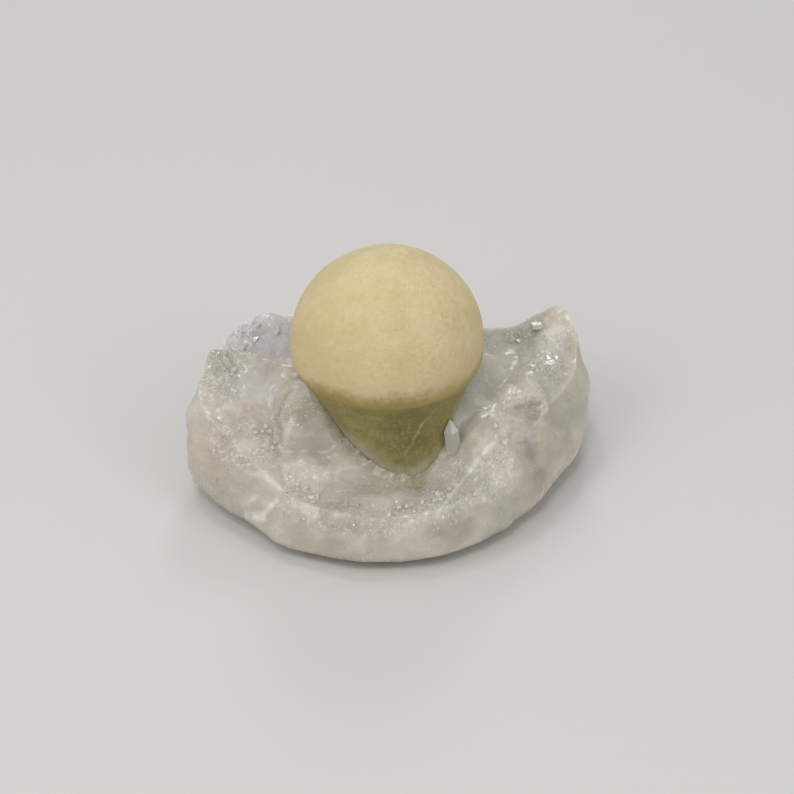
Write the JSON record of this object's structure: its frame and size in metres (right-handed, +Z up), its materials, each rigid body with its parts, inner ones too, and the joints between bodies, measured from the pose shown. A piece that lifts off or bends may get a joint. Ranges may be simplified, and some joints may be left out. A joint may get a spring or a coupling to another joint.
{
  "type": "mineral specimen",
  "caption": "Cream-yellow fluorite ball on a tapering olive root, grown into a rough bowl of milky quartz that rests on its flat underside.",
  "frame": {"origin": "on the flat underside, straight below the centre of the ball", "axes": "+X to the right along the specimen's width, +Y to its back, +Z up"},
  "size_m": [0.0579, 0.0441, 0.0363],
  "materials": {
    "fluorite": "matte cream skin on the ball, olive-green and translucent on the root",
    "quartz": "milky and translucent, with sugary crystal faces"
  },
  "bodies": {
    "root": {"fluorite_ball": "fluorite", "quartz_matrix": "quartz"}
  },
  "joints": []
}
